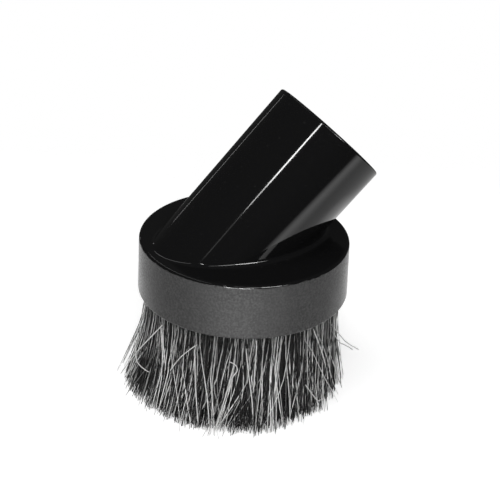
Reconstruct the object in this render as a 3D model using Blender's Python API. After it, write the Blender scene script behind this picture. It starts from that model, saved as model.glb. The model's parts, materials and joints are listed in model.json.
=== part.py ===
"""Round dusting brush for a vacuum cleaner's wand.

One plastic moulding is a flat cap with a skirt and a tube that leans at an angle. A strip brush, which is hair
folded round a wire in a steel channel and bent into a ring, is pressed into the groove under the cap.
Metres, +Z up. The brush stands on the tips of its hair, and the tube leans towards +X.
"""

import math
import random

import bmesh
import bpy
from mathutils import Vector

# Tube and wand socket
TUBE_TILT = math.radians(45.0)
TUBE_FLARE = 0.00055
MOUTH_WALL = 0.0024
MOUTH_ROUND = 0.0006
SOCKET_MOUTH_RADIUS = 0.0162
SOCKET_TAPER = 0.0005
SOCKET_DEPTH = 0.0246
SOCKET_LEAD_IN = 0.0005
STOP_LEDGE = 0.0014
STOP_RISE = 0.0059
FOOT_FILLET = 0.0016

# Cap and skirt
HEEL_LAND = 0.0026
TOE_LAND = 0.0084
CAP_THICKNESS = 0.0024
RIM_ROUND = 0.0009
SKIRT_HEIGHT = 0.0169
SKIRT_WALL = 0.0020
SKIRT_DRAFT = 0.0003
SKIRT_EDGE_ROUND = 0.0006
COLLAR_WALL = 0.0018
COLLAR_HEIGHT = 0.0105

# Strip brush
SEAT_CLEARANCE = 0.0003
CHANNEL_WIDTH = 0.00635
CHANNEL_DEPTH = 0.0064
CHANNEL_SHEET = 0.0005
CHANNEL_JOINT_GAP = 0.0012
WIRE_RADIUS = 0.0008
FOLD_SLIT = 0.0003

# Hair below the skirt
HAIR_LENGTH = 0.0296
HAIR_SPREAD_OUT = 0.0050
HAIR_SPREAD_IN = 0.0032
HAIR_LEAN = 0.0018
HAIR_LEAN_TOWARDS = math.radians(145.0)
HAIR_BOW = 1.4
HAIR_RAGGED = 0.0034
STRAY_SPREAD = 0.0030

# Fineness of the curved surfaces
HOUSING_SIDES = 72
ROUND_STEPS = 3
CHANNEL_STEPS = 60
LOCK_COLUMNS = 76
ROWS_PER_LEG = 2
FOLD_STEPS = 3
SEED = 7

# Sizes that follow from the driving ones
MOUTH_RADIUS = SOCKET_MOUTH_RADIUS + MOUTH_WALL
FOOT_RADIUS = MOUTH_RADIUS - TUBE_FLARE
PASSAGE_RADIUS = SOCKET_MOUTH_RADIUS - SOCKET_TAPER - STOP_LEDGE
PASSAGE_TOE = (PASSAGE_RADIUS * math.cos(TUBE_TILT) - CAP_THICKNESS) / math.sin(TUBE_TILT)
STOP_ALONG = PASSAGE_TOE + STOP_RISE
TUBE_LENGTH = STOP_ALONG + SOCKET_DEPTH
FOOT_HALF_LENGTH = FOOT_RADIUS / math.sin(TUBE_TILT)
CAP_RADIUS = (HEEL_LAND + 2 * FOOT_HALF_LENGTH + TOE_LAND) / 2
FOOT_CENTRE = HEEL_LAND + FOOT_HALF_LENGTH - CAP_RADIUS
SKIRT_RADIUS = CAP_RADIUS + SKIRT_DRAFT
GROOVE_RADIUS = CAP_RADIUS - SKIRT_WALL
CHANNEL_RADIUS = GROOVE_RADIUS - SEAT_CLEARANCE
COLLAR_RADIUS = CHANNEL_RADIUS - CHANNEL_WIDTH - SEAT_CLEARANCE
CHAMBER_RADIUS = COLLAR_RADIUS - COLLAR_WALL
CAP_TOP = SKIRT_HEIGHT + HAIR_LENGTH
CHANNEL_TOP = CAP_TOP - CAP_THICKNESS - SEAT_CLEARANCE
HAIR_OUTER = CHANNEL_RADIUS - CHANNEL_SHEET - SEAT_CLEARANCE
HAIR_INNER = CHANNEL_RADIUS - CHANNEL_WIDTH + CHANNEL_SHEET + SEAT_CLEARANCE
HAIR_MIDDLE = (HAIR_OUTER + HAIR_INNER) / 2
FOLD_RADIUS = (HAIR_OUTER - HAIR_INNER) / 2
WIRE_HEIGHT = CHANNEL_TOP - CHANNEL_SHEET - SEAT_CLEARANCE - FOLD_RADIUS
HAIR_ROOT = CHANNEL_TOP - CHANNEL_DEPTH


def clear_scene():
    for obj in list(bpy.data.objects):
        bpy.data.objects.remove(obj, do_unlink=True)


def material(name, colour, roughness, metallic=0.0):
    made = bpy.data.materials.new(name)
    made.use_nodes = True
    shader = made.node_tree.nodes["Principled BSDF"]
    shader.inputs["Base Color"].default_value = (*colour, 1.0)
    shader.inputs["Roughness"].default_value = roughness
    shader.inputs["Metallic"].default_value = metallic
    made.diffuse_color = (*colour, 1.0)
    return made


def add_part(name, bm, collection, finish):
    """Makes a named object of the mesh, shaded smooth apart from its sharp edges."""
    mesh = bpy.data.meshes.new(name)
    bmesh.ops.recalc_face_normals(bm, faces=bm.faces)
    bm.to_mesh(mesh)
    bm.free()
    mesh.materials.append(finish)
    mesh.shade_smooth()
    mesh.set_sharp_from_angle(angle=math.radians(35.0))
    part = bpy.data.objects.new(name, mesh)
    collection.objects.link(part)
    return part


def arc(centre, radius, start, end, steps):
    """Points (a, b) on an arc in a section's own plane, both ends included. Angles are in degrees."""
    points = []
    for step in range(steps + 1):
        angle = math.radians(start + (end - start) * step / steps)
        points.append((centre[0] + radius * math.cos(angle), centre[1] + radius * math.sin(angle)))
    return points


def loft(bm, sections, closed=True):
    """Skins closed sections of equal length in order. A closed loft comes back to its first section."""
    rings = [[bm.verts.new(point) for point in section] for section in sections]
    faces = []
    count = len(rings[0])
    for index in range(len(rings) if closed else len(rings) - 1):
        near = rings[index]
        far = rings[(index + 1) % len(rings)]
        for side in range(count):
            after = (side + 1) % count
            faces.append(bm.faces.new((near[side], near[after], far[after], far[side])))
    if not closed:
        bm.faces.new(list(reversed(rings[0])))
        bm.faces.new(rings[-1])
    return rings, faces


def around(sides):
    return [2 * math.pi * side / sides for side in range(sides)]


def turned(radius, height, angles):
    """A level circle round the cap's axis, with one point at each angle."""
    return [Vector((radius * math.cos(a), radius * math.sin(a), height)) for a in angles]


TUBE_AXIS = Vector((math.cos(TUBE_TILT), 0.0, math.sin(TUBE_TILT)))
TUBE_ACROSS = Vector((math.sin(TUBE_TILT), 0.0, -math.cos(TUBE_TILT)))
FOOT_POINT = Vector((FOOT_CENTRE, 0.0, CAP_TOP))


def tube_normal(angle):
    return math.cos(angle) * TUBE_ACROSS + math.sin(angle) * Vector((0.0, 1.0, 0.0))


def tube_point(along, radius, angle):
    return FOOT_POINT + along * TUBE_AXIS + radius * tube_normal(angle)


def tube_ring(along, radius, angles):
    return [tube_point(along, radius, angle) for angle in angles]


def foot_fillet(angles):
    """Rings that roll a ball of the fillet's radius round the corner between the tube and the flat cap."""
    slope = TUBE_FLARE / TUBE_LENGTH
    rings = [[] for _ in range(ROUND_STEPS + 1)]
    for angle in angles:
        lift = math.cos(angle) * math.cos(TUBE_TILT)
        along = (FOOT_FILLET + (FOOT_RADIUS + FOOT_FILLET) * lift) / (math.sin(TUBE_TILT) - slope * lift)
        radius = FOOT_RADIUS + slope * along
        ball = tube_point(along, radius + FOOT_FILLET, angle)
        to_tube = -tube_normal(angle)
        to_cap = Vector((0.0, 0.0, -1.0))
        for step, ring in enumerate(rings):
            ring.append(ball + FOOT_FILLET * to_tube.slerp(to_cap, step / ROUND_STEPS))
    return rings


def passage_end(angles):
    """Where the slanted passage opens into the round chamber: through the cap, or in the chamber's wall."""
    ring = []
    for angle in angles:
        across = math.cos(angle) * PASSAGE_RADIUS
        side = math.sin(angle) * PASSAGE_RADIUS
        through_cap = (across * math.cos(TUBE_TILT) - CAP_THICKNESS) / math.sin(TUBE_TILT)
        wall_x = -math.sqrt(CHAMBER_RADIUS**2 - side**2)
        in_wall = (wall_x - FOOT_CENTRE - across * math.sin(TUBE_TILT)) / math.cos(TUBE_TILT)
        ring.append(tube_point(max(through_cap, in_wall), PASSAGE_RADIUS, angle))
    return ring


def housing_sections():
    """Every ring of the moulding's skin in order: down the outside, through the groove and back up the bore."""
    angles = around(HOUSING_SIDES)
    socket_radius = SOCKET_MOUTH_RADIUS - SOCKET_TAPER
    sections = [
        tube_ring(TUBE_LENGTH - SOCKET_LEAD_IN, SOCKET_MOUTH_RADIUS, angles),
        tube_ring(TUBE_LENGTH, SOCKET_MOUTH_RADIUS + SOCKET_LEAD_IN, angles),
    ]
    lip = (MOUTH_RADIUS - MOUTH_ROUND, TUBE_LENGTH - MOUTH_ROUND)
    sections += [tube_ring(along, r, angles) for r, along in arc(lip, MOUTH_ROUND, 90, 0, ROUND_STEPS)]
    sections += foot_fillet(angles)
    rim = (CAP_RADIUS - RIM_ROUND, CAP_TOP - RIM_ROUND)
    sections += [turned(r, z, angles) for r, z in arc(rim, RIM_ROUND, 90, 0, ROUND_STEPS)]
    skirt_bottom = CAP_TOP - SKIRT_HEIGHT
    edge = (SKIRT_RADIUS - SKIRT_EDGE_ROUND, skirt_bottom + SKIRT_EDGE_ROUND)
    sections += [turned(r, z, angles) for r, z in arc(edge, SKIRT_EDGE_ROUND, 0, -90, 2)]
    groove_top = CAP_TOP - CAP_THICKNESS
    sections.append(turned(SKIRT_RADIUS - SKIRT_WALL, skirt_bottom, angles))
    sections.append(turned(GROOVE_RADIUS, groove_top, angles))
    opening = passage_end(angles)
    chamber_angles = [math.atan2(point.y, point.x) for point in opening]
    collar_bottom = groove_top - COLLAR_HEIGHT
    sections.append(turned(COLLAR_RADIUS, groove_top, chamber_angles))
    nose = (COLLAR_RADIUS - COLLAR_WALL / 2, collar_bottom + COLLAR_WALL / 2)
    sections += [turned(r, z, chamber_angles) for r, z in arc(nose, COLLAR_WALL / 2, 0, -180, 2 * ROUND_STEPS)]
    sections.append(turned(CHAMBER_RADIUS, groove_top, chamber_angles))
    sections.append(opening)
    sections.append(tube_ring(STOP_ALONG, PASSAGE_RADIUS, angles))
    sections.append(tube_ring(STOP_ALONG, socket_radius, angles))
    return sections


def make_housing(collection):
    bm = bmesh.new()
    loft(bm, housing_sections())
    return add_part("housing", bm, collection, material("black_gloss_plastic", (0.012, 0.012, 0.013), 0.16))


def bent_section(outline, angle):
    """An outline of (radius, height) points, stood up at an angle round the cap's axis."""
    return [turned(radius, height, [angle])[0] for radius, height in outline]


def make_channel(collection):
    """A U of thin steel sheet, open downwards and bent into a ring whose ends nearly meet."""
    inner = CHANNEL_RADIUS - CHANNEL_WIDTH
    floor = CHANNEL_TOP - CHANNEL_SHEET
    lip = CHANNEL_TOP - CHANNEL_DEPTH
    outline = [
        (CHANNEL_RADIUS, lip),
        (CHANNEL_RADIUS, CHANNEL_TOP - CHANNEL_SHEET),
        (CHANNEL_RADIUS - CHANNEL_SHEET, CHANNEL_TOP),
        (inner + CHANNEL_SHEET, CHANNEL_TOP),
        (inner, CHANNEL_TOP - CHANNEL_SHEET),
        (inner, lip),
        (inner + CHANNEL_SHEET, lip),
        (inner + CHANNEL_SHEET, floor),
        (CHANNEL_RADIUS - CHANNEL_SHEET, floor),
        (CHANNEL_RADIUS - CHANNEL_SHEET, lip),
    ]
    gap = CHANNEL_JOINT_GAP / CHANNEL_RADIUS
    sections = []
    for step in range(CHANNEL_STEPS + 1):
        angle = gap / 2 + (2 * math.pi - gap) * step / CHANNEL_STEPS
        sections.append(bent_section(outline, angle))
    bm = bmesh.new()
    loft(bm, sections, closed=False)
    return add_part("brush_channel", bm, collection, material("zinc_plated_steel", (0.55, 0.55, 0.55), 0.35, 1.0))


def make_core_wire(collection):
    """A round wire bent into a ring, with the same joint as the channel."""
    path = bpy.data.curves.new("core_wire", "CURVE")
    path.dimensions = "3D"
    path.bevel_depth = WIRE_RADIUS
    path.bevel_resolution = 1
    path.use_fill_caps = True
    spline = path.splines.new("POLY")
    spline.points.add(CHANNEL_STEPS)
    gap = CHANNEL_JOINT_GAP / HAIR_MIDDLE
    for step, point in enumerate(spline.points):
        angle = gap / 2 + (2 * math.pi - gap) * step / CHANNEL_STEPS
        point.co = (HAIR_MIDDLE * math.cos(angle), HAIR_MIDDLE * math.sin(angle), WIRE_HEIGHT, 1.0)
    path.materials.append(material("drawn_steel_wire", (0.45, 0.45, 0.45), 0.3, 1.0))
    wire = bpy.data.objects.new("core_wire", path)
    collection.objects.link(wire)
    return wire


def folded_hair_outline():
    """The hair inside the channel: over the wire in a fold, with a slit between its two legs.

    Between the points of each leg's end lie the cells that the locks grow from, listed last.
    """
    pocket = WIRE_RADIUS + SEAT_CLEARANCE
    slit = FOLD_SLIT / 2
    slit_angle = math.degrees(math.asin(slit / pocket))
    leg = FOLD_RADIUS - slit
    outline = arc((HAIR_MIDDLE, WIRE_HEIGHT), FOLD_RADIUS, 0, 180, FOLD_STEPS)
    for row in range(ROWS_PER_LEG + 1):
        outline.append((HAIR_INNER + leg * row / ROWS_PER_LEG, HAIR_ROOT))
    outline += arc((HAIR_MIDDLE, WIRE_HEIGHT), pocket, 270 - slit_angle, slit_angle - 90, FOLD_STEPS + 1)
    for row in range(ROWS_PER_LEG + 1):
        outline.append((HAIR_MIDDLE + slit + leg * row / ROWS_PER_LEG, HAIR_ROOT))
    return outline


def hair_drop(height):
    """How far down its free length the hair is: 0 at the skirt's edge and 1 at the tips."""
    return max(0.0, 1 - height / HAIR_LENGTH)


def hair_band(height):
    """The inner and outer radius of the ring of hair, which bows outwards below the skirt."""
    spread = hair_drop(height) ** HAIR_BOW
    return HAIR_INNER - HAIR_SPREAD_IN * spread, HAIR_OUTER + SEAT_CLEARANCE + HAIR_SPREAD_OUT * spread


def lock_section(share, width, angle, height, fullness, sideways, stray):
    """The four corners of a lock at a height. Its share and width place it across the band of hair.

    Fullness is how much of its own cell it fills, and sideways is its shift in cells round the ring.
    """
    inner, outer = hair_band(height)
    drop = hair_drop(height)
    middle = inner + share * (outer - inner) + stray * drop
    half_depth = fullness * width * (outer - inner) / 2
    cell_turn = 2 * math.pi / LOCK_COLUMNS
    lean = HAIR_LEAN * drop * Vector((math.cos(HAIR_LEAN_TOWARDS), math.sin(HAIR_LEAN_TOWARDS), 0.0))
    corners = []
    for depth, turn in ((-1, -1), (1, -1), (1, 1), (-1, 1)):
        at = angle + (sideways + turn * fullness / 2) * cell_turn
        corners += [point + lean for point in turned(middle + depth * half_depth, height, [at])]
    return corners


def grow_lock(bm, cell, sections):
    """Pulls a cell of the root out into a lock of hair that ends in a small flat tip."""
    ring = list(cell.verts)
    bm.faces.remove(cell)
    for section in sections:
        lower = [bm.verts.new(corner) for corner in section]
        for side in range(4):
            after = (side + 1) % 4
            bm.faces.new((ring[side], ring[after], lower[after], lower[side]))
        ring = lower
    bm.faces.new(ring)


def hair_cells(outline):
    """Each cell across the ends of the two legs: its place in the outline, its share of the band and its width."""
    across = HAIR_OUTER - HAIR_INNER
    inner_leg = FOLD_STEPS + 1
    outer_leg = len(outline) - ROWS_PER_LEG - 1
    for first in (inner_leg, outer_leg):
        for side in range(first, first + ROWS_PER_LEG):
            near = outline[side][0]
            far = outline[side + 1][0]
            yield side, ((near + far) / 2 - HAIR_INNER) / across, (far - near) / across


def lock_levels(tip, sideways, outermost):
    """Height, fullness and sideways shift of a lock from its root to its tip. The outer locks show, so bend more."""
    middle = (tip + HAIR_LENGTH) / 2
    if not outermost:
        return [(middle, 0.84, 0.10 * sideways), (tip, 0.26, 0.34 * sideways)]
    return [
        (HAIR_LENGTH, 0.97, 0.0),
        (middle, 0.86, 0.06 * sideways),
        (tip + HAIR_LENGTH / 7, 0.56, 0.18 * sideways),
        (tip, 0.12, 0.38 * sideways),
    ]


def make_bristles(collection):
    """The folded hair as one body: a root ring in the channel, and a lock below each cell of its two legs."""
    chance = random.Random(SEED)
    outline = folded_hair_outline()
    outermost_side = len(outline) - 2
    bm = bmesh.new()
    faces = loft(bm, [bent_section(outline, angle) for angle in around(LOCK_COLUMNS)])[1]
    for side, share, width in hair_cells(outline):
        outermost = side == outermost_side
        for column in range(LOCK_COLUMNS):
            angle = 2 * math.pi * (column + 0.5) / LOCK_COLUMNS
            tip = 0.0 if (column + side) % 3 == 0 else HAIR_RAGGED * chance.random()
            stray = STRAY_SPREAD * chance.random() ** 2 if outermost else 0.0
            levels = lock_levels(tip, chance.uniform(-1, 1), outermost)
            sections = [lock_section(share, width, angle, *level, stray) for level in levels]
            grow_lock(bm, faces[column * len(outline) + side], sections)
    return add_part("bristles", bm, collection, material("natural_hair", (0.09, 0.085, 0.08), 0.55))


def centre_on_footprint(parts):
    """Moves the whole brush so that the origin is under the middle of the space that it takes up."""
    bpy.context.view_layer.update()
    corners = [part.matrix_world @ Vector(corner) for part in parts for corner in part.bound_box]
    for part in parts:
        part.location.x -= (min(c.x for c in corners) + max(c.x for c in corners)) / 2
        part.location.y -= (min(c.y for c in corners) + max(c.y for c in corners)) / 2


def build():
    clear_scene()
    collection = bpy.data.collections.new("dusting_brush")
    bpy.context.scene.collection.children.link(collection)
    makers = (make_housing, make_channel, make_core_wire, make_bristles)
    centre_on_footprint([make(collection) for make in makers])


build()
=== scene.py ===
"""Dresses the dusting brush: a finely moulded housing, hair grown hair by hair, plated steel and a studio.

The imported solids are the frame. Metres, +Z up, and the brush stands on the tips of its hair.
"""

import json
import math

import bmesh
import bpy
from bpy.props import FloatProperty, FloatVectorProperty, IntProperty, PointerProperty
from mathutils import Matrix, Vector


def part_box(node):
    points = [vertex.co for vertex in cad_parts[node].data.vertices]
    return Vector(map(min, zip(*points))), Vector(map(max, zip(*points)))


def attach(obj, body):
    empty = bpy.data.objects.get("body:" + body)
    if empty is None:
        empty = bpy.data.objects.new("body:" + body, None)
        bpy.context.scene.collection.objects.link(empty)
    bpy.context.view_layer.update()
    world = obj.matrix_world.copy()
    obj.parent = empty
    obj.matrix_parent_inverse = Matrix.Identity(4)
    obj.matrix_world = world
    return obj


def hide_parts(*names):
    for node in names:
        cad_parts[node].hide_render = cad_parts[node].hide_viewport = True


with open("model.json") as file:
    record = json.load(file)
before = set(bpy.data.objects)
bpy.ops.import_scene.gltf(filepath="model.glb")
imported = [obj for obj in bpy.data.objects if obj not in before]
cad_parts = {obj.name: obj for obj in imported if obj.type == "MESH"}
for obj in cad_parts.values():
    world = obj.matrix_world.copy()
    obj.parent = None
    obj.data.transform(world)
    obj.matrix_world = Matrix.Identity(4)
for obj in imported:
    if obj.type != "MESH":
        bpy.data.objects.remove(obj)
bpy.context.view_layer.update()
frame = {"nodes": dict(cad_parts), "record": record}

bl_info = {
    "name": "Dusting Brush Finish",
    "version": (1, 0, 0),
    "blender": (4, 5, 0),
    "location": "3D View > Sidebar > Brush",
    "description": "Moulds the housing, grows the hair, plates the steel and sets the studio",
    "category": "Object",
}

CHANNEL_LOW, CHANNEL_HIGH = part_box("brush_channel")
HOUSING_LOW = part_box("housing")[0]
MOUNTS = {mount["name"]: mount for mount in frame["record"]["mounts"]}
AXIS_X = (CHANNEL_LOW.x + CHANNEL_HIGH.x) / 2
AXIS_Y = (CHANNEL_LOW.y + CHANNEL_HIGH.y) / 2
CHANNEL_RADIUS = (CHANNEL_HIGH.y - CHANNEL_LOW.y) / 2
CAP_TOP = MOUNTS["cap_top"]["pos_m"][2]
FULL_TURN = 2 * math.pi
MILLIMETRE = 0.001


def length(name, description, default):
    return FloatProperty(name=name, description=description, default=default, unit="LENGTH", precision=5)


def angle(name, description, degrees):
    return FloatProperty(name=name, description=description, default=math.radians(degrees), subtype="ANGLE")


def share(name, description, default):
    return FloatProperty(name=name, description=description, default=default, precision=3)


def count(name, description, default):
    return IntProperty(name=name, description=description, default=default, min=1)


def colour(name, description, default):
    return FloatVectorProperty(name=name, description=description, default=default, subtype="COLOR", size=3)


class HousingSettings(bpy.types.PropertyGroup):
    """Sizes and finish of the plastic moulding."""

    tube_tilt: angle("Tube tilt", "Rise of the tube above the cap", 45.0)
    tube_flare: length("Tube flare", "How much wider the tube is at its mouth than at its foot", 0.00055)
    mouth_wall: length("Mouth wall", "Wall of the tube at its mouth", 0.0024)
    mouth_round: length("Mouth round", "Radius of the outer edge of the mouth", 0.0006)
    socket_radius: length("Socket radius", "Radius of the wand's socket at its mouth", 0.0162)
    socket_taper: length("Socket taper", "How much narrower the socket is at its stop", 0.0005)
    socket_depth: length("Socket depth", "Depth of the socket down to its stop", 0.0246)
    socket_lead_in: length("Socket lead-in", "Chamfer inside the mouth", 0.0005)
    stop_ledge: length("Stop ledge", "Width of the ledge that stops the wand", 0.0014)
    stop_rise: length("Stop rise", "Height of the stop above the passage's toe", 0.0059)
    foot_fillet: length("Foot fillet", "Radius of the corner between the tube and the cap", 0.0016)
    heel_land: length("Heel land", "Flat of the cap behind the tube", 0.0026)
    toe_land: length("Toe land", "Flat of the cap in front of the tube", 0.0084)
    cap_thickness: length("Cap thickness", "Thickness of the flat cap", 0.0024)
    rim_round: length("Rim round", "Radius of the edge between the cap and the skirt", 0.0009)
    skirt_wall: length("Skirt wall", "Wall of the skirt at its lower edge", 0.0020)
    skirt_draft: length("Skirt draft", "How much wider the skirt is at its lower edge", 0.0003)
    skirt_edge_round: length("Skirt edge round", "Radius of the skirt's lower edge", 0.0006)
    channel_width: length("Channel width", "Width of the groove's steel channel", 0.00635)
    seat_clearance: length("Seat clearance", "Gap round the steel channel", 0.0003)
    collar_wall: length("Collar wall", "Wall of the collar inside the groove", 0.0018)
    collar_height: length("Collar height", "Height of the collar below the cap", 0.0105)
    sides: count("Sides", "Facets round the moulding", 288)
    round_steps: count("Round steps", "Facets across each rounded edge", 10)
    edge_hold: length("Edge hold", "Distance from an edge to the ring that holds it", 0.00006)
    sharp_angle: angle("Sharp angle", "Smallest angle between facets that stays a sharp edge", 40.0)
    plastic_colour: colour("Plastic colour", "Colour of the polished plastic", (0.0052, 0.0052, 0.0054))
    skirt_colour: colour("Skirt colour", "Colour of the grained skirt", (0.022, 0.022, 0.022))
    gloss_roughness: share("Gloss roughness", "Roughness of the polished plastic", 0.045)
    grain_sheen: share("Grain sheen", "How much the grained skirt brightens towards its outline", 0.52)
    grain_roughness: share("Grain roughness", "Roughness of the grained skirt", 0.58)
    grain_start: share("Grain start", "Depth below the cap where the grain starts, in rim rounds", 0.60)
    grain_full: share("Grain full", "Depth below the cap where the grain is full, in rim rounds", 0.80)
    pit_contrast: share("Pit contrast", "How far pits and peaks differ from the skirt's colour", 0.9)
    least_matt: share("Least matt", "Share of the matt finish in the grain's glossiest specks", 0.50)
    dust_strength: share("Dust strength", "How strongly dust pales the polished plastic", 0.35)


class HairSettings(bpy.types.PropertyGroup):
    """Form and colour of the hair."""

    sheet: length("Channel sheet", "Thickness of the steel channel", 0.0005)
    channel_width: length("Channel width", "Width of the steel channel", 0.00635)
    spread_out: length("Outward spread", "How far the outer hair spreads below the skirt", 0.0039)
    spread_in: length("Inward spread", "How far the inner hair spreads below the skirt", 0.0032)
    lean: length("Lean", "How far the tips lean to one side", 0.0034)
    lean_towards: angle("Lean direction", "Direction in which the tips lean", 205.0)
    bow: share("Bow", "How late the hair curves outwards", 1.7)
    ragged: length("Raggedness", "Difference between the longest and the shortest hair", 0.0040)
    hair_radius: length("Hair radius", "Radius of a hair", 0.000145)
    sway: length("Sway", "How far a tip wanders sideways", 0.0026)
    wave: length("Wave", "Height of the waves along a hair", 0.00038)
    tufts: count("Tufts", "Number of tufts round the ring", 74)
    gather: share("Gather", "How closely the hairs of a tuft draw together", 0.15)
    steps: count("Steps", "Segments along a hair", 8)
    hairs: count("Hairs", "Hairs in the outer layer", 3600)
    dark: colour("Dark hair", "Colour of the darkest hair", (0.012, 0.012, 0.012))
    light: colour("Light hair", "Colour of the lightest hair", (0.94, 0.94, 0.93))
    roughness: share("Hair roughness", "Roughness of a hair", 0.42)
    specular: share("Hair specular", "Strength of a hair's gloss", 0.10)
    # Painted shade: a hair is darker towards its root, where the skirt shades it.
    root_light_in_painted_shade: share("Root light", "How light a hair is at its root, as a share of its tone", 0.45)
    streaks: share("Streaks", "Strength of the lighter and darker streaks along a hair", 0.8)
    root_depth: length("Root depth", "How far inside the channel's lower edge a hair starts", 0.0015)


class SteelSettings(bpy.types.PropertyGroup):
    """Finish of the channel and the wire."""

    zinc_colour: colour("Zinc colour", "Colour of the plated channel", (0.58, 0.58, 0.60))
    wire_colour: colour("Wire colour", "Colour of the drawn wire", (0.42, 0.42, 0.43))
    zinc_roughness: share("Zinc roughness", "Roughness of the plated channel", 0.34)
    wire_roughness: share("Wire roughness", "Roughness of the drawn wire", 0.28)
    dull_patches: share("Dull patches", "Darkest tone of the metal, as a share of its colour", 0.78)
    bright_patches: share("Bright patches", "Lightest tone of the metal, as a share of its colour", 1.1)


class StudioSettings(bpy.types.PropertyGroup):
    """Camera, lamps, paper and dark room."""

    azimuth: angle("Azimuth", "Direction of the camera round the brush", -26.22)
    elevation: angle("Elevation", "Height of the camera above the horizon", 27.77)
    roll: angle("Roll", "Turn of the camera about its own axis", 2.28)
    distance: length("Distance", "From the middle of the cap to the camera", 0.41247)
    lens: share("Lens", "Focal length in millimetres", 100.8)
    shift_right: length("Shift right", "How far the cap stands to the right of the camera's axis", -0.00162)
    shift_up: length("Shift up", "How far the cap stands above the camera's axis", 0.00439)
    paper_width: length("Paper width", "Width of the white paper under the brush", 0.56)
    paper_depth: length("Paper depth", "Depth of the white paper under the brush", 0.33)
    paper_fade: length("Paper fade", "Width of the paper's edge that fades into the background", 0.075)
    paper_colour: colour("Paper colour", "Colour of the paper", (0.80, 0.80, 0.80))
    paper_mottle: share("Paper mottle", "How far the paper's tone varies", 0.015)
    paper_lift: share("Paper lift", "Light that whitens the paper for the camera", 0.52)
    # Painted reflection: in the gloss the paper glows as a pool of light, which is no lamp.
    painted_pool_level: share("Pool level", "Brightness of the paper in the gloss", 0.08)
    painted_pool_front: share("Pool in front", "Extra brightness in the gloss, on the camera's side", 0.9)
    painted_pool_back: share("Pool behind", "Extra brightness in the gloss, close behind the brush", 0.4)
    ambient: share("Ambient", "Light of the room", 0.12)
    painted_room_glow: share("Room glow", "Brightness of the dark room in the plastic", 0.038)


class Socket:
    """An output of a node. Python's operators on it add the Math nodes that work out the same sum."""

    def __init__(self, net, output):
        self.net = net
        self.output = output

    def __getitem__(self, name):
        """Another output of the same node."""
        return Socket(self.net, self.net.find(self.output.node.outputs, name))

    def __add__(self, other):
        return self.net.maths("ADD", self, other)

    def __radd__(self, other):
        return self.net.maths("ADD", other, self)

    def __sub__(self, other):
        return self.net.maths("SUBTRACT", self, other)

    def __rsub__(self, other):
        return self.net.maths("SUBTRACT", other, self)

    def __mul__(self, other):
        return self.net.maths("MULTIPLY", self, other)

    def __rmul__(self, other):
        return self.net.maths("MULTIPLY", other, self)

    def __truediv__(self, other):
        return self.net.maths("DIVIDE", self, other)

    def __rtruediv__(self, other):
        return self.net.maths("DIVIDE", other, self)

    def __pow__(self, other):
        return self.net.maths("POWER", self, other)

    def __lt__(self, other):
        return self.net.maths("LESS_THAN", self, other)


class Net:
    """A tree of nodes in the making, for a material, the world or Geometry Nodes."""

    def __init__(self, tree):
        self.tree = tree
        tree.nodes.clear()

    @staticmethod
    def find(sockets, name):
        """The socket of that name or number among those in use."""
        used = [socket for socket in sockets if socket.enabled]
        if isinstance(name, int):
            return used[name]
        return next(socket for socket in used if socket.name == name)

    def node(self, kind, settings=None, sockets=None):
        """Adds a node: first its settings, then its sockets' values or links. Returns its first output."""
        made = self.tree.nodes.new(kind)
        for name, value in (settings or {}).items():
            if name == "stops":
                self.set_stops(made.color_ramp, value)
            else:
                setattr(made, name, value)
        for name, value in (sockets or {}).items():
            target = self.find(made.inputs, name)
            if isinstance(value, Socket):
                self.tree.links.new(value.output, target)
            else:
                target.default_value = value
        shown = [socket for socket in made.outputs if socket.enabled]
        return Socket(self, shown[0]) if shown else None

    @staticmethod
    def set_stops(ramp, stops):
        """Sets a ramp's stops from pairs of a place and a grey level."""
        while len(ramp.elements) < len(stops):
            ramp.elements.new(0.5)
        for element, (place, level) in zip(ramp.elements, stops):
            element.position = place
            element.color = grey(level)

    def maths(self, operation, *values):
        return self.node("ShaderNodeMath", {"operation": operation}, dict(enumerate(values)))

    def smooth(self, value, low, high):
        """0 below low and 1 above high, with a soft step between them."""
        return self.node(
            "ShaderNodeMapRange",
            {"interpolation_type": "SMOOTHSTEP"},
            {"Value": value, "From Min": low, "From Max": high},
        )

    def mix(self, factor, first, second):
        """Goes from the first colour to the second."""
        return self.node(
            "ShaderNodeMix", {"data_type": "RGBA"}, {"Factor": factor, "A": first, "B": second}
        )

    def noise(self, where, scale, detail=2.0, roughness=0.5):
        return self.node(
            "ShaderNodeTexNoise",
            {},
            {"Vector": where, "Scale": scale, "Detail": detail, "Roughness": roughness},
        )

    def bump(self, height, distance, strength=1.0, normal=None):
        sockets = {"Height": height, "Distance": distance, "Strength": strength}
        if normal:
            sockets["Normal"] = normal
        return self.node("ShaderNodeBump", {}, sockets)


def opaque(rgb):
    return (*rgb, 1.0)


def grey(level):
    return (level, level, level, 1.0)


def new_finish(name):
    """An empty material and its net."""
    made = bpy.data.materials.new(name)
    made.use_nodes = True
    return made, Net(made.node_tree)


def shader(net, **sockets):
    """A shader with the given sockets. An underscore in a name stands for a space."""
    named = {name.replace("_", " "): value for name, value in sockets.items()}
    return net.node("ShaderNodeBsdfPrincipled", {}, named)


def close_finish(net, surface):
    net.node("ShaderNodeOutputMaterial", {}, {"Surface": surface})


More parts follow.
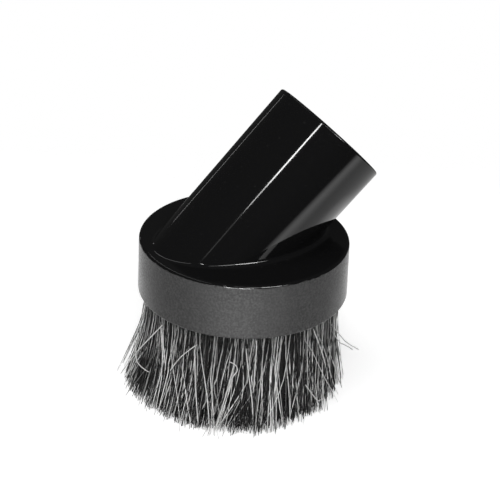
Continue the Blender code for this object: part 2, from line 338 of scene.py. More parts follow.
def housing_finish(sizes):
    """Polished black plastic, with a fine grain on the skirt's outer wall."""
    made, net = new_finish("housing_plastic")
    where = net.node("ShaderNodeTexCoord")["Object"]
    height = net.node("ShaderNodeSeparateXYZ", {}, {"Vector": where})["Z"]
    mottle = net.noise(where, scale=260.0, detail=3.0, roughness=0.6)
    grain = net.noise(where, scale=2100.0, detail=2.0, roughness=0.6)
    speckle = net.smooth(net.noise(where, scale=1500.0, detail=1.0), low=0.35, high=0.65)
    dust = net.smooth(net.noise(where, scale=900.0, detail=1.0), low=0.72, high=0.80)
    swell = net.bump(net.noise(where, scale=75.0, detail=1.0), distance=0.00003)

    edge = height + sizes.rim_round * (net.noise(where, scale=420.0, detail=1.0) - 0.5)
    full_height = CAP_TOP - sizes.grain_full * sizes.rim_round
    start_height = CAP_TOP - sizes.grain_start * sizes.rim_round
    grained = 1 - net.smooth(edge, low=full_height, high=start_height)

    dust_colour = grey(0.03)
    polished = net.mix(dust * sizes.dust_strength, opaque(sizes.plastic_colour), dust_colour)
    gloss = shader(net, Base_Color=polished, Roughness=sizes.gloss_roughness + 0.02 * mottle, Normal=swell)

    pitted = net.smooth(0.2 * mottle + 0.8 * grain, low=0.34, high=0.66)
    pit_colour = (1 - sizes.pit_contrast) * Vector(sizes.skirt_colour)
    peak_colour = (1 + sizes.pit_contrast) * Vector(sizes.skirt_colour)
    satin = shader(
        net,
        Base_Color=net.mix(pitted, opaque(pit_colour), opaque(peak_colour)),
        Roughness=sizes.grain_roughness + 0.10 * (grain - 0.5),
        Normal=net.bump(grain, distance=0.00012, strength=0.35, normal=swell),
        Sheen_Weight=sizes.grain_sheen,
        Sheen_Roughness=0.35,
    )
    matt = grained * (sizes.least_matt + (1 - sizes.least_matt) * speckle)
    close_finish(net, net.node("ShaderNodeMixShader", {}, {0: matt, 1: gloss, 2: satin}))
    return made


# Pairs of a hair's shade and the tone that it gets, from the darkest hair to the lightest.
HAIR_TONES = ((0.0, 0.0), (0.50, 0.008), (0.81, 0.05), (0.90, 0.66), (1.0, 1.0))


def hair_finish(look):
    """Natural hair: mostly dark, with light strands among it, and a painted shade that darkens it towards the
    root.
    """
    made, net = new_finish("natural_hair")
    shade = net.node("ShaderNodeAttribute", {"attribute_name": "hair_shade"})["Fac"]
    along = net.node("ShaderNodeAttribute", {"attribute_name": "hair_along"})["Fac"]
    where = net.node("ShaderNodeTexCoord")["Object"]
    lightness = net.node("ShaderNodeValToRGB", {"stops": HAIR_TONES}, {"Fac": shade})["Color"]
    streak = net.noise(where, scale=700.0, detail=2.0)
    strand = net.mix(lightness, opaque(look.dark), opaque(look.light))
    # Painted shade: the hair darkens towards its root, where the skirt shades it.
    past_painted_root_shade = net.smooth(along, low=0.18, high=0.75)
    shaded = look.root_light_in_painted_shade + (1 - look.root_light_in_painted_shade) * past_painted_root_shade + look.streaks * (streak - 0.5)
    shadow_colour = 0.4 * Vector(look.dark)
    base = net.mix(shaded, opaque(shadow_colour), strand)
    roughness = look.roughness + 0.2 * (streak - 0.5)
    close_finish(net, shader(net, Base_Color=base, Roughness=roughness, Specular_IOR_Level=look.specular))
    return made


def steel_finish(name, look, rgb, roughness, patch_scale):
    """Metal with a patchy surface and a fine grain."""
    made, net = new_finish(name)
    where = net.node("ShaderNodeTexCoord")["Object"]
    patches = net.noise(where, scale=patch_scale, detail=3.0, roughness=0.6)
    fine = net.noise(where, scale=12 * patch_scale, detail=2.0)
    dull = opaque(look.dull_patches * Vector(rgb))
    bright = opaque(look.bright_patches * Vector(rgb))
    surface = shader(
        net,
        Base_Color=net.mix(patches, dull, bright),
        Metallic=1.0,
        Roughness=roughness + 0.12 * (fine - 0.5),
        Normal=net.bump(fine, distance=0.00003, strength=0.4),
    )
    close_finish(net, surface)
    return made


def arc(centre, radius, start, end, steps):
    """Points (a, b) on an arc in a section's own plane, both ends included. Angles are in degrees."""
    points = []
    for step in range(steps + 1):
        at = math.radians(start + (end - start) * step / steps)
        points.append((centre[0] + radius * math.cos(at), centre[1] + radius * math.sin(at)))
    return points


def around(sides):
    return [FULL_TURN * side / sides for side in range(sides)]


def about_axis(radius, at, height):
    """The point at an angle round the cap's axis."""
    return Vector((AXIS_X + radius * math.cos(at), AXIS_Y + radius * math.sin(at), height))


def turned(radius, height, angles):
    """A level circle round the cap's axis, with one point at each angle."""
    return [about_axis(radius, at, height) for at in angles]


class HousingShape:
    """The moulding's rings, worked out as the solid's are, with finer rounds and edges."""

    def __init__(self, sizes):
        self.sizes = sizes
        self.angles = around(sizes.sides)
        self.axis = Vector((math.cos(sizes.tube_tilt), 0.0, math.sin(sizes.tube_tilt)))
        self.across = Vector((math.sin(sizes.tube_tilt), 0.0, -math.cos(sizes.tube_tilt)))
        self.mouth_radius = sizes.socket_radius + sizes.mouth_wall
        self.foot_radius = self.mouth_radius - sizes.tube_flare
        self.passage_radius = sizes.socket_radius - sizes.socket_taper - sizes.stop_ledge
        toe = self.passage_radius * math.cos(sizes.tube_tilt) - sizes.cap_thickness
        self.stop_along = toe / math.sin(sizes.tube_tilt) + sizes.stop_rise
        self.tube_length = self.stop_along + sizes.socket_depth
        foot_half_length = self.foot_radius / math.sin(sizes.tube_tilt)
        self.cap_radius = (sizes.heel_land + 2 * foot_half_length + sizes.toe_land) / 2
        self.foot_x = sizes.heel_land + foot_half_length - self.cap_radius
        self.foot = Vector((AXIS_X + self.foot_x, AXIS_Y, CAP_TOP))
        collar_gap = sizes.channel_width + sizes.seat_clearance
        self.collar_radius = CHANNEL_RADIUS - collar_gap
        self.chamber_radius = self.collar_radius - sizes.collar_wall

    def tube_normal(self, at):
        return math.cos(at) * self.across + math.sin(at) * Vector((0.0, 1.0, 0.0))

    def tube_point(self, along, radius, at):
        return self.foot + along * self.axis + radius * self.tube_normal(at)

    def tube_ring(self, along, radius):
        return [self.tube_point(along, radius, at) for at in self.angles]

    def foot_fillet(self):
        """Rings that roll a ball of the fillet's radius round the corner between the tube and the cap."""
        sizes = self.sizes
        ball_radius = sizes.foot_fillet
        slope = sizes.tube_flare / self.tube_length
        rings = [[] for _ in range(sizes.round_steps + 1)]
        for at in self.angles:
            lift = math.cos(at) * math.cos(sizes.tube_tilt)
            rise = ball_radius + (self.foot_radius + ball_radius) * lift
            along = rise / (math.sin(sizes.tube_tilt) - slope * lift)
            ball = self.tube_point(along, self.foot_radius + slope * along + ball_radius, at)
            to_tube = -self.tube_normal(at)
            for step, ring in enumerate(rings):
                turn = to_tube.slerp(Vector((0.0, 0.0, -1.0)), step / sizes.round_steps)
                ring.append(ball + ball_radius * turn)
        return rings

    def passage_end(self):
        """Where the slanted passage opens into the chamber: through the cap, or in the chamber's wall."""
        sizes = self.sizes
        ring = []
        for at in self.angles:
            across = math.cos(at) * self.passage_radius
            side = math.sin(at) * self.passage_radius
            below_cap = across * math.cos(sizes.tube_tilt) - sizes.cap_thickness
            through_cap = below_cap / math.sin(sizes.tube_tilt)
            wall_x = -math.sqrt(self.chamber_radius**2 - side**2)
            in_wall = (wall_x - self.foot_x - across * math.sin(sizes.tube_tilt)) / math.cos(sizes.tube_tilt)
            ring.append(self.tube_point(max(through_cap, in_wall), self.passage_radius, at))
        return ring

    def sections(self):
        """Every ring of the skin in order: down the outside, through the groove and back up the bore."""
        sizes = self.sizes
        steps = sizes.round_steps
        bore = sizes.socket_radius
        rings = [
            self.tube_ring(self.tube_length - sizes.socket_lead_in, bore),
            self.tube_ring(self.tube_length, bore + sizes.socket_lead_in),
        ]
        lip = (self.mouth_radius - sizes.mouth_round, self.tube_length - sizes.mouth_round)
        rings += [self.tube_ring(along, r) for r, along in arc(lip, sizes.mouth_round, 90, 0, steps)]
        rings += self.foot_fillet()
        rim = (self.cap_radius - sizes.rim_round, CAP_TOP - sizes.rim_round)
        rings += [turned(r, z, self.angles) for r, z in arc(rim, sizes.rim_round, 90, 0, steps)]
        skirt_radius = self.cap_radius + sizes.skirt_draft
        edge = (skirt_radius - sizes.skirt_edge_round, HOUSING_LOW.z + sizes.skirt_edge_round)
        rings += [turned(r, z, self.angles) for r, z in arc(edge, sizes.skirt_edge_round, 0, -90, steps)]
        groove_top = CAP_TOP - sizes.cap_thickness
        rings.append(turned(skirt_radius - sizes.skirt_wall, HOUSING_LOW.z, self.angles))
        rings.append(turned(self.cap_radius - sizes.skirt_wall, groove_top, self.angles))
        opening = self.passage_end()
        chamber = [math.atan2(point.y - AXIS_Y, point.x - AXIS_X) for point in opening]
        rings.append(turned(self.collar_radius, groove_top, chamber))
        half_wall = sizes.collar_wall / 2
        nose = (self.collar_radius - half_wall, groove_top - sizes.collar_height + half_wall)
        rings += [turned(r, z, chamber) for r, z in arc(nose, half_wall, 0, -180, 2 * steps)]
        rings.append(turned(self.chamber_radius, groove_top, chamber))
        rings.append(opening)
        rings.append(self.tube_ring(self.stop_along, self.passage_radius))
        rings.append(self.tube_ring(self.stop_along, bore - sizes.socket_taper))
        return rings


# A stretch is long when it measures this many times the edge's hold.
LONG_STRETCH = 8


def with_edges_held(rings, hold):
    """Adds a ring close to each end of a long stretch, so that smooth shading keeps the stretch straight."""
    held = []
    for ring, after in zip(rings, rings[1:] + rings[:1]):
        held.append(ring)
        gap = (after[0] - ring[0]).length
        if gap > LONG_STRETCH * hold:
            held.append([near.lerp(far, hold / (far - near).length) for near, far in zip(ring, after)])
            held.append([far.lerp(near, hold / (far - near).length) for near, far in zip(ring, after)])
    return held


def closed_loft(rings, sharp_angle):
    """A mesh through the rings, whose last ring joins the first."""
    bm = bmesh.new()
    grid = [[bm.verts.new(point) for point in ring] for ring in rings]
    sides = len(grid[0])
    for near, far in zip(grid, grid[1:] + grid[:1]):
        for side in range(sides):
            after = (side + 1) % sides
            bm.faces.new((near[side], near[after], far[after], far[side]))
    bmesh.ops.recalc_face_normals(bm, faces=bm.faces)
    mesh = bpy.data.meshes.new("loft")
    bm.to_mesh(mesh)
    bm.free()
    mesh.shade_smooth()
    mesh.set_sharp_from_angle(angle=sharp_angle)
    return mesh


def add_piece(name, mesh, finish, node):
    """Shows a mesh as a piece of the brush that stands for a solid."""
    mesh.name = name
    mesh.materials.clear()
    mesh.materials.append(finish)
    piece = bpy.data.objects.new(name, mesh)
    bpy.context.scene.collection.objects.link(piece)
    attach(piece, "root")
    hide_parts(node)


class BRUSH_OT_mould_housing(bpy.types.Operator):
    """Lofts the cap, skirt and tube as one fine skin"""

    bl_idname = "brush.mould_housing"
    bl_label = "Mould housing"

    def execute(self, context):
        sizes = context.scene.brush_housing
        rings = with_edges_held(HousingShape(sizes).sections(), sizes.edge_hold)
        loft = closed_loft(rings, sizes.sharp_angle)
        add_piece("moulded_housing", loft, housing_finish(sizes), "housing")
        return {"FINISHED"}


HAIR_INPUTS = {
    "Hairs": "NodeSocketInt",
    "Steps": "NodeSocketInt",
    "Tufts": "NodeSocketInt",
    "Seed": "NodeSocketInt",
    "Low share": "NodeSocketFloat",
    "High share": "NodeSocketFloat",
    "Hair radius": "NodeSocketFloat",
    "Root height": "NodeSocketFloat",
    "Skirt height": "NodeSocketFloat",
    "Inner radius": "NodeSocketFloat",
    "Outer radius": "NodeSocketFloat",
    "Spread in": "NodeSocketFloat",
    "Spread out": "NodeSocketFloat",
    "Lean": "NodeSocketFloat",
    "Lean towards": "NodeSocketFloat",
    "Bow": "NodeSocketFloat",
    "Ragged": "NodeSocketFloat",
    "Sway": "NodeSocketFloat",
    "Wave": "NodeSocketFloat",
    "Gather": "NodeSocketFloat",
    "Bent share": "NodeSocketFloat",
    "Bend": "NodeSocketFloat",
    "Darkest": "NodeSocketFloat",
    "Palest": "NodeSocketFloat",
    "Finish": "NodeSocketMaterial",
}


# Proportions in the tree below: shares of its inputs, limits of its draws and two powers.
SHORT_HAIR_POWER = 4.0
TUFT_SIDEWAYS = 0.6
TUFT_IN_AND_OUT = 0.45
WANDER = 1.05
LATEST_BEND = 0.7
BEND_INWARDS = 0.30
BEND_OUTWARDS = 0.25
FEWEST_WAVES = 0.5
MOST_WAVES = 1.9
WAVE_ONSET = 3
FINEST_HAIR = 0.8
COARSEST_HAIR = 1.2
DARK_GIRTH = 0.8
PALE_GIRTH_GAIN = 0.55
PALE_FROM = 0.80
PALE_FULLY = 0.92
TIP_TAPER = 0.35
TAPER_POWER = 5


def hair_tree():
    """Geometry Nodes that grow a layer of hair: each hair is a bent tube that hangs from the channel."""
    tree = bpy.data.node_groups.new("grow_hair", "GeometryNodeTree")
    for name, kind in HAIR_INPUTS.items():
        tree.interface.new_socket(name=name, in_out="INPUT", socket_type=kind)
    tree.interface.new_socket(name="Hair", in_out="OUTPUT", socket_type="NodeSocketGeometry")
    net = Net(tree)
    given = net.node("NodeGroupInput")
    strand = net.node("GeometryNodeCurvePrimitiveLine")
    strand = net.node(
        "GeometryNodeResampleCurve", {"mode": "COUNT"}, {"Curve": strand, "Count": given["Steps"] + 1}
    )
    copies = net.node(
        "GeometryNodeDuplicateElements", {"domain": "SPLINE"}, {"Geometry": strand, "Amount": given["Hairs"]}
    )
    number = copies["Duplicate Index"]
    salt = iter(range(100))

    def chance(low, high, owner=number):
        return net.node(
            "FunctionNodeRandomValue",
            {"data_type": "FLOAT"},
            {"Min": low, "Max": high, "ID": owner, "Seed": given["Seed"] + next(salt)},
        )

    along = net.node("GeometryNodeSplineParameter")["Factor"]
    root_angle = (number + chance(0.0, 1.0)) * FULL_TURN / given["Hairs"]
    tip = given["Ragged"] * chance(0.0, 1.0) ** SHORT_HAIR_POWER
    height = given["Root height"] + (tip - given["Root height"]) * along
    drop = net.maths("MAXIMUM", 1 - height / given["Skirt height"], 0.0)
    spread = drop ** given["Bow"]

    tuft = net.maths("FLOOR", root_angle * given["Tufts"] / FULL_TURN)
    tuft_angle = (tuft + 0.5) * FULL_TURN / given["Tufts"]
    tuft_shift = given["Sway"] * chance(-TUFT_SIDEWAYS, TUFT_SIDEWAYS, tuft)
    tuft_depth = given["Sway"] * chance(-TUFT_IN_AND_OUT, TUFT_IN_AND_OUT, tuft)
    draw = (tuft_angle - root_angle) * given["Gather"] * spread

    wander = given["Sway"] * (chance(-1.0, 1.0) + chance(-1.0, 1.0)) * WANDER
    bent = chance(0.0, 1.0) < given["Bent share"]
    past_bend = net.maths("MAXIMUM", drop - chance(0.0, LATEST_BEND), 0.0)
    bend = bent * given["Bend"] * chance(-1.0, 1.0) * past_bend
    wave_turn = FULL_TURN * (chance(FEWEST_WAVES, MOST_WAVES) * along + chance(0.0, 1.0))
    wave = given["Wave"] * net.maths("SINE", wave_turn) * net.maths("MINIMUM", WAVE_ONSET * drop, 1.0)
    sideways = (wander + tuft_shift) * drop + bend + wave

    inner = given["Inner radius"] - given["Spread in"] * spread
    outer = given["Outer radius"] + given["Spread out"] * spread
    depth = chance(given["Low share"], given["High share"])
    lift = bent * given["Bend"] * chance(-BEND_INWARDS, BEND_OUTWARDS) * past_bend
    wave_out = given["Wave"] * net.maths("SINE", wave_turn + chance(0.0, FULL_TURN)) * spread
    radius = inner + depth * (outer - inner) + tuft_depth * spread + lift + wave_out

    turn = root_angle + draw + sideways / radius
    x = AXIS_X + radius * net.maths("COSINE", turn)
    y = AXIS_Y + radius * net.maths("SINE", turn)
    x = x + given["Lean"] * spread * net.maths("COSINE", given["Lean towards"])
    y = y + given["Lean"] * spread * net.maths("SINE", given["Lean towards"])
    place = net.node("ShaderNodeCombineXYZ", {}, {"X": x, "Y": y, "Z": height})

    shade = chance(given["Darkest"], given["Palest"])
    hair = net.node(
        "GeometryNodeStoreNamedAttribute",
        {"data_type": "FLOAT", "domain": "CURVE"},
        {"Geometry": copies, "Name": "hair_shade", "Value": shade},
    )
    hair = net.node(
        "GeometryNodeStoreNamedAttribute",
        {"data_type": "FLOAT", "domain": "POINT"},
        {"Geometry": hair, "Name": "hair_along", "Value": along},
    )
    hair = net.node("GeometryNodeSetPosition", {}, {"Geometry": hair, "Position": place})
    coarse = DARK_GIRTH + PALE_GIRTH_GAIN * net.smooth(shade, low=PALE_FROM, high=PALE_FULLY)
    own_girth = chance(FINEST_HAIR, COARSEST_HAIR)
    thickness = given["Hair radius"] * coarse * own_girth * (1 - TIP_TAPER * along**TAPER_POWER)
    section = net.node(
        "GeometryNodeCurvePrimitiveCircle", {"mode": "RADIUS"}, {"Resolution": 3, "Radius": 1.0}
    )
    hair = net.node(
        "GeometryNodeCurveToMesh",
        {},
        {"Curve": hair, "Profile Curve": section, "Scale": thickness, "Fill Caps": True},
    )
    hair = net.node("GeometryNodeRealizeInstances", {}, {"Geometry": hair})
    hair = net.node("GeometryNodeSetMaterial", {}, {"Geometry": hair, "Material": given["Finish"]})
    net.node("NodeGroupOutput", {}, {"Hair": hair})
    return tree


def grow_layer(name, tree, values):
    """Evaluates the tree on an empty mesh with the values of its named inputs, and returns a plain mesh."""
    holder = bpy.data.objects.new(name, bpy.data.meshes.new(name))
    bpy.context.scene.collection.objects.link(holder)
    modifier = holder.modifiers.new("grow_hair", "NODES")
    modifier.node_group = tree
    for item in tree.interface.items_tree:
        if item.in_out == "INPUT":
            modifier[item.identifier] = values[item.name]
    depsgraph = bpy.context.evaluated_depsgraph_get()
    mesh = bpy.data.meshes.new_from_object(
        holder.evaluated_get(depsgraph), preserve_all_data_layers=True, depsgraph=depsgraph
    )
    holder.modifiers.clear()
    bpy.data.objects.remove(holder, do_unlink=True)
    mesh.shade_smooth()
    return mesh


# Folded and crossing hairs over the ring, each as points: turn from the camera's side in degrees, distance
# from the axis and height in millimetres. Most turns and many heights were printed by a scratch program,
# which projected places picked by eye in the photograph on the ring. The distances and some points were
# set one by one.
PLACED_HAIRS = (
    ((-52.5, 28.6, 25.1), (-59.3, 33.1, 17.7), (-66.7, 35.4, 10.5), (-72.8, 37.4, 3.6)),
    ((-52.5, 28.4, 25.4), (-48.7, 30.0, 20.6), (-45.3, 30.5, 16.0), (-44.6, 30.6, 12.6)),
    ((-54.9, 28.4, 25.2), (-49.4, 30.1, 20.4), (-47.2, 30.4, 15.6)),
    ((-25.0, 28.6, 24.2), (-31.2, 30.1, 21.1), (-36.0, 30.9, 17.5), (-39.1, 31.5, 14.1)),
    ((-75.0, 32.4, 13.4), (-69.5, 33.4, 10.6), (-63.0, 33.6, 9.2), (-54.0, 32.8, 9.8)),
    ((-5.3, 29.0, 20.5), (-1.9, 30.4, 20.9), (-0.3, 30.6, 18.8), (-3.6, 31.0, 16.8), (-5.1, 31.6, 12.3)),
    ((40.0, 30.4, 10.1), (44.3, 32.2, 5.6), (47.0, 32.5, 3.6), (49.0, 32.3, 3.8)),
    ((70.4, 28.4, 22.8), (79.0, 30.4, 17.0), (85.5, 32.4, 12.2), (84.1, 36.2, 10.9)),
    ((72.5, 28.6, 19.8), (80.0, 30.6, 13.6), (87.0, 31.6, 11.4), (84.3, 34.4, 10.6)),
    ((47.3, 28.2, 27.2), (56.7, 30.4, 15.2), (58.5, 31.0, 8.0)),
    ((9.6, 28.2, 27.3), (8.8, 30.6, 17.6), (7.7, 31.8, 12.0)),
    ((3.4, 28.2, 25.6), (5.1, 30.6, 17.7), (7.6, 32.5, 9.5), (7.7, 33.9, 4.4)),
    ((-26.3, 29.0, 22.5), (-23.1, 32.0, 12.8), (-18.8, 34.9, 2.6)),
    ((-3.0, 29.4, 19.6), (-6.2, 32.4, 10.8), (-9.8, 35.2, 1.4)),
    ((-40.3, 31.6, 13.7), (-40.5, 34.0, 6.4), (-40.6, 35.9, 0.5)),
    ((19.8, 29.2, 19.7), (21.4, 32.4, 8.4), (23.1, 34.0, 0.8)),
)
PLACED_GIRTH = 1.25
PLACED_ATTRIBUTES = {"hair_shade": 0.92, "hair_along": 0.8}


def placed_mesh(look, camera_turn):
    """The placed hairs as a plain mesh, with the attributes that the hair's finish reads."""
    curve = bpy.data.curves.new("hair_placed", "CURVE")
    curve.dimensions = "3D"
    curve.bevel_depth = PLACED_GIRTH * look.hair_radius
    curve.bevel_resolution = 0
    for hair in PLACED_HAIRS:
        spline = curve.splines.new("NURBS")
        spline.points.add(len(hair) - 1)
        for point, (turn, out, height) in zip(spline.points, hair):
            at = camera_turn + math.radians(turn)
            point.co = (*about_axis(MILLIMETRE * out, at, MILLIMETRE * height), 1.0)
        spline.order_u = 3
        spline.use_endpoint_u = True
        spline.resolution_u = 6
    holder = bpy.data.objects.new("hair_placed", curve)
    bpy.context.scene.collection.objects.link(holder)
    mesh = bpy.data.meshes.new_from_object(holder.evaluated_get(bpy.context.evaluated_depsgraph_get()))
    bpy.data.objects.remove(holder, do_unlink=True)
    for name, value in PLACED_ATTRIBUTES.items():
        attribute = mesh.attributes.new(name, "FLOAT", "POINT")
        attribute.data.foreach_set("value", [value] * len(mesh.vertices))
    mesh.shade_smooth()
    return mesh


# The layers from the inside out. Density and girth multiply the look's hairs and hair radius. The low and
# high share say where across the channel a hair starts.
LAYER_COLUMNS = ("Low share", "High share", "Density", "Girth", "Darkest", "Palest", "Bent share", "Bend")
HAIR_LAYERS = {
    # The inner and middle layers get no pale hair: a painted shade that keeps the gaps between the outer
    # hairs dark.
    "hair_inner": (0.02, 0.34, 0.75, 1.1, 0.0, 0.74, 0.05, 0.004),
    "hair_middle": (0.30, 0.76, 0.75, 1.1, 0.0, 0.78, 0.08, 0.006),
    "hair_outer": (0.70, 1.02, 1.00, 1.0, 0.0, 1.0, 0.20, 0.009),
    "hair_crossing": (0.92, 1.04, 0.030, 1.15, 0.78, 1.0, 1.00, 0.018),
    "hair_stray": (0.97, 1.14, 0.045, 0.65, 0.50, 1.0, 1.00, 0.018),
}
SEED_STEP = 1000


class BRUSH_OT_grow_hair(bpy.types.Operator):
    """Grows the ring of hair in layers, from the inner side of the channel to the stray hairs outside"""

    bl_idname = "brush.grow_hair"
    bl_label = "Grow hair"

    def execute(self, context):
        look = context.scene.brush_hair
        tree = hair_tree()
        finish = hair_finish(look)
        values = {
            "Steps": look.steps,
            "Tufts": look.tufts,
            "Root height": CHANNEL_LOW.z + look.root_depth,
            "Skirt height": HOUSING_LOW.z,
            "Inner radius": CHANNEL_RADIUS - look.channel_width + look.sheet,
            "Outer radius": CHANNEL_RADIUS - look.sheet,
            "Spread in": look.spread_in,
            "Spread out": look.spread_out,
            "Lean": look.lean,
            "Lean towards": look.lean_towards,
            "Bow": look.bow,
            "Ragged": look.ragged,
            "Sway": look.sway,
            "Wave": look.wave,
            "Gather": look.gather,
            "Finish": finish,
        }
        for number, (name, row) in enumerate(HAIR_LAYERS.items(), start=1):
            layer = dict(zip(LAYER_COLUMNS, row))
            values.update(layer)
            values["Seed"] = SEED_STEP * number
            values["Hairs"] = round(look.hairs * layer["Density"])
            values["Hair radius"] = look.hair_radius * layer["Girth"]
            add_piece(name, grow_layer(name, tree, values), finish, "bristles")
        camera_turn = context.scene.brush_studio.azimuth - FULL_TURN / 4
        add_piece("hair_placed", placed_mesh(look, camera_turn), finish, "bristles")
        return {"FINISHED"}


class BRUSH_OT_plate_steel(bpy.types.Operator):
    """Gives the channel and the wire their metal"""

    bl_idname = "brush.plate_steel"
    bl_label = "Plate steel"

    def execute(self, context):
        look = context.scene.brush_steel
        finishes = {
            "brush_channel": steel_finish(
                "zinc_plated_steel", look, look.zinc_colour, look.zinc_roughness, patch_scale=420.0
            ),
            "core_wire": steel_finish(
                "drawn_wire", look, look.wire_colour, look.wire_roughness, patch_scale=700.0
            ),
        }
        for node, finish in finishes.items():
            mesh = frame["nodes"][node].data
            mesh.materials.clear()
            mesh.materials.append(finish)
        return {"FINISHED"}


def seen_directly(net):
    """1 for a ray from the camera, a mirror or a glass, and 0 for a ray that only carries light."""
    path = net.node("ShaderNodeLightPath")
    seen = net.maths("MAXIMUM", path["Is Camera Ray"], path["Is Glossy Ray"])
    return net.maths("MAXIMUM", seen, path["Is Transmission Ray"])


def sheet_mesh(look, right, away):
    """A flat sheet on the ground, centred under the brush and square to the camera."""
    bm = bmesh.new()
    bmesh.ops.create_grid(bm, x_segments=24, y_segments=24, size=0.5)
    for vert in bm.verts:
        across = vert.co.x * look.paper_width
        deep = vert.co.y * look.paper_depth
        vert.co = across * right + deep * away
    mesh = bpy.data.meshes.new("white_paper")
    bm.to_mesh(mesh)
    bm.free()
    return mesh


def paper_finish(look, right, away):
    """White paper that keeps the shadow, fades into the white background towards its edge, and glows in the
    gloss with a painted pool of light, brighter in front of the brush and close behind it.
    """
    made, net = new_finish("white_paper")
    where = net.node("ShaderNodeTexCoord")["Object"]
    grain = net.noise(where, scale=900.0, detail=2.0)
    darker = (1 - look.paper_mottle) * Vector(look.paper_colour)
    lighter = (1 + look.paper_mottle) * Vector(look.paper_colour)
    across = net.node("ShaderNodeVectorMath", {"operation": "DOT_PRODUCT"}, {0: where, 1: right})["Value"]
    behind = net.node("ShaderNodeVectorMath", {"operation": "DOT_PRODUCT"}, {0: where, 1: away})["Value"]
    to_side = look.paper_width / 2 - net.maths("ABSOLUTE", across)
    to_end = look.paper_depth / 2 - net.maths("ABSOLUTE", behind)
    whole = net.smooth(net.maths("MINIMUM", to_side, to_end), low=0.0, high=look.paper_fade)
    # Painted reflection: mirrored rays see the paper glow at a base level, more in front of the brush and
    # more close behind it.
    path = net.node("ShaderNodeLightPath")
    glossy = net.maths("MAXIMUM", path["Is Glossy Ray"], path["Is Transmission Ray"])
    from_middle = net.node("ShaderNodeVectorMath", {"operation": "LENGTH"}, {0: where})["Value"]
    close = 1 - net.smooth(from_middle, low=0.080, high=0.094)
    in_front = net.smooth(behind, low=-0.04, high=-0.10)
    close_behind = close * net.smooth(behind, low=-0.015, high=0.015)
    painted_pool = look.painted_pool_level + look.painted_pool_front * in_front + look.painted_pool_back * close_behind
    lift = path["Is Camera Ray"] * look.paper_lift + glossy * painted_pool
    surface = shader(
        net,
        Base_Color=net.mix(grain, opaque(darker), opaque(lighter)),
        Roughness=0.9,
        Emission_Color=net.mix(lift, grey(0.0), grey(1.0)),
        Emission_Strength=1.0,
        Alpha=whole,
    )
    close_finish(net, surface)
    return made


def dark_room_finish(look):
    """Cloth with a faint painted glow, which the gloss mirrors as the dim light of a dark room."""
    made, net = new_finish("dark_room")
    close_finish(net, net.node("ShaderNodeEmission", {}, {"Color": grey(look.painted_room_glow), "Strength": 1.0}))
    return made


def add_stage_mesh(name, mesh, finish):
    mesh.materials.append(finish)
    made = bpy.data.objects.new(name, mesh)
    bpy.context.scene.collection.objects.link(made)
    return made


def add_lamp(name, place, target, size, power, long_side, lights):
    """A rectangular lamp turned to its target, with its second side along a direction.

    It lights either diffuse surfaces or gloss.
    """
    lamp = bpy.data.lights.new(name, "AREA")
    lamp.shape = "RECTANGLE"
    lamp.size, lamp.size_y = size
    lamp.energy = power
    made = bpy.data.objects.new(name, lamp)
    back = (place - target).normalized()
    side = long_side.cross(back).normalized()
    turn = Matrix((side, back.cross(side), back)).transposed().to_4x4()
    made.matrix_world = Matrix.Translation(place) @ turn
    made.visible_glossy = lights == "gloss"
    made.visible_diffuse = lights == "diffuse"
    bpy.context.scene.collection.objects.link(made)


class Stage:
    """The middle of the cap, and the directions as the camera sees them."""

    def __init__(self, look):
        self.cap = Vector((AXIS_X, AXIS_Y, CAP_TOP))
        self.right = Vector((math.cos(look.azimuth), math.sin(look.azimuth), 0.0))
        self.away = Vector((-self.right.y, self.right.x, 0.0))
        self.up = Vector((0.0, 0.0, 1.0))

    def point(self, right, away, up):
        """A place that many metres from the middle of the cap."""
        return self.cap + right * self.right + away * self.away + up * self.up


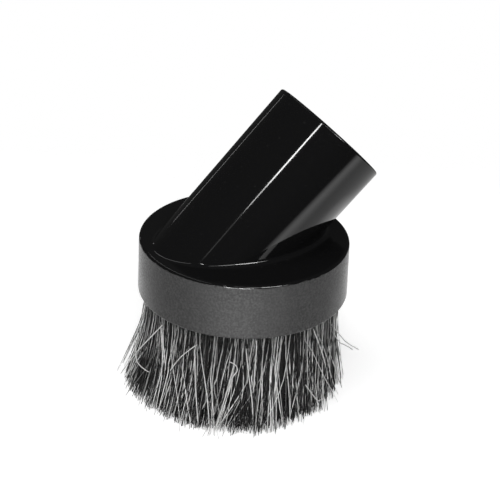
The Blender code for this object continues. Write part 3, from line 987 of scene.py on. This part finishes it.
class BRUSH_OT_set_studio(bpy.types.Operator):
    """Places the camera, the lamps, the white paper and the dark room"""

    bl_idname = "brush.set_studio"
    bl_label = "Set studio"

    def execute(self, context):
        look = context.scene.brush_studio
        stage = Stage(look)
        self.add_camera(context, look, stage)
        self.add_soft_lamps(stage)
        self.add_mirrored_bars(stage)
        self.set_world(context.scene, look)
        paper = sheet_mesh(look, stage.right, stage.away)
        add_stage_mesh("white_paper", paper, paper_finish(look, stage.right, stage.away))
        self.add_dark_room(look)
        context.scene.view_settings.view_transform = "Standard"
        return {"FINISHED"}

    @staticmethod
    def add_soft_lamps(stage):
        """Broad lamps in front and overhead, which light the brush but are not mirrored in it."""
        lamps = (
            ("front_soft", (0.15, -1.05, 0.62), 0.7, 11.0, stage.up),
            ("top_soft", (-0.25, -0.1, 1.2), 0.9, 7.0, stage.away),
        )
        for name, place, size, power, long_side in lamps:
            add_lamp(name, stage.point(*place), stage.cap, (size, size), power, long_side, "diffuse")

    @staticmethod
    def add_mirrored_bars(stage):
        """Lamps that only draw the bright lines in the gloss.

        Each row has the lamp's name, both its ends, its width and its radiance. The ends are in metres to the
        right, away from the camera and up, counted from the middle of the cap.
        """
        bars = (
            ("overhead_bar", (-0.57, -0.75, 1.05), (-0.57, 1.20, 1.05), 0.06, 2.4),
            ("upper_bar", (-0.235, -0.745, 0.625), (-0.279, -0.775, 0.568), 0.038, 30.0),
            ("middle_bar", (-0.279, -0.775, 0.568), (-0.299, -0.784, 0.544), 0.022, 16.0),
            ("lower_bar", (-0.299, -0.784, 0.544), (-0.320, -0.805, 0.478), 0.022, 1.0),
            ("side_bar_top", (-0.11, -0.45, 0.89), (0.05, -0.66, 0.75), 0.06, 2.5),
            ("side_bar_high", (0.05, -0.66, 0.75), (0.30, -0.80, 0.48), 0.09, 6.0),
            ("side_bar_low", (0.30, -0.80, 0.48), (0.55, -0.72, 0.41), 0.15, 21.0),
            ("side_bar_end", (0.55, -0.72, 0.41), (0.60, -0.68, 0.415), 0.09, 34.0),
            ("foot_glow", (0.61, -0.70, 0.355), (0.68, -0.60, 0.43), 0.10, 6.5),
            ("back_bar", (-0.543, 0.822, 0.224), (-0.621, 0.791, 0.073), 0.014, 2.6),
            ("front_glow", (-0.30, -0.95, -0.08), (0.20, -0.98, -0.08), 0.22, 34.0),
        )
        for name, first, last, width, radiance in bars:
            start = stage.point(*first)
            end = stage.point(*last)
            span = end - start
            power = radiance * math.pi * width * span.length
            add_lamp(name, (start + end) / 2, stage.cap, (width, span.length), power, span, "gloss")

    @staticmethod
    def add_camera(context, look, stage):
        """The photograph's camera: it looks down on the cap, rolled a little."""
        back = math.sin(look.elevation) * stage.up - math.cos(look.elevation) * stage.away
        over = back.cross(stage.right)
        rolled_right = stage.right * math.cos(look.roll) + over * math.sin(look.roll)
        rolled_up = over * math.cos(look.roll) - stage.right * math.sin(look.roll)
        lens = bpy.data.cameras.new("photo_camera")
        lens.lens = look.lens
        lens.sensor_width = 36.0
        lens.clip_start = 0.01
        lens.clip_end = 20.0
        camera = bpy.data.objects.new("photo_camera", lens)
        place = stage.cap + back * look.distance - rolled_right * look.shift_right - rolled_up * look.shift_up
        turn = Matrix((rolled_right, rolled_up, back)).transposed().to_4x4()
        camera.matrix_world = Matrix.Translation(place) @ turn
        context.scene.collection.objects.link(camera)
        context.scene.camera = camera

    @staticmethod
    def set_world(scene, look):
        """A dim room, which is white where it is seen directly."""
        world = bpy.data.worlds.new("room")
        world.use_nodes = True
        scene.world = world
        net = Net(world.node_tree)
        light = net.mix(seen_directly(net), grey(look.ambient), grey(1.0))
        room = net.node("ShaderNodeBackground", {}, {"Color": light, "Strength": 1.0})
        net.node("ShaderNodeOutputWorld", {}, {"Surface": room})

    @staticmethod
    def add_dark_room(look):
        """Black cloth all round, which only shows in the gloss: a painted reflection of a dark room in the
        plastic.
        """
        bm = bmesh.new()
        bmesh.ops.create_icosphere(bm, subdivisions=3, radius=3.0)
        mesh = bpy.data.meshes.new("dark_room")
        bm.to_mesh(mesh)
        bm.free()
        room = add_stage_mesh("dark_room", mesh, dark_room_finish(look))
        room.visible_camera = False
        room.visible_diffuse = False
        room.visible_transmission = False
        room.visible_shadow = False


class BRUSH_PT_finish(bpy.types.Panel):
    """Lists the steps that dress the brush"""

    bl_label = "Dusting brush"
    bl_idname = "BRUSH_PT_finish"
    bl_space_type = "VIEW_3D"
    bl_region_type = "UI"
    bl_category = "Brush"

    def draw(self, context):
        for step in STEPS:
            self.layout.operator(step.bl_idname)


STEPS = (BRUSH_OT_set_studio, BRUSH_OT_mould_housing, BRUSH_OT_grow_hair, BRUSH_OT_plate_steel)
SETTINGS = {
    "brush_housing": HousingSettings,
    "brush_hair": HairSettings,
    "brush_steel": SteelSettings,
    "brush_studio": StudioSettings,
}


def register():
    for made in (*SETTINGS.values(), *STEPS, BRUSH_PT_finish):
        bpy.utils.register_class(made)
    for name, kind in SETTINGS.items():
        setattr(bpy.types.Scene, name, PointerProperty(type=kind))


def unregister():
    for name in SETTINGS:
        delattr(bpy.types.Scene, name)
    for made in (BRUSH_PT_finish, *reversed(STEPS), *reversed(SETTINGS.values())):
        bpy.utils.unregister_class(made)


def main():
    register()
    bpy.ops.brush.set_studio()
    bpy.ops.brush.mould_housing()
    bpy.ops.brush.grow_hair()
    bpy.ops.brush.plate_steel()


if __name__ == "__main__":
    main()
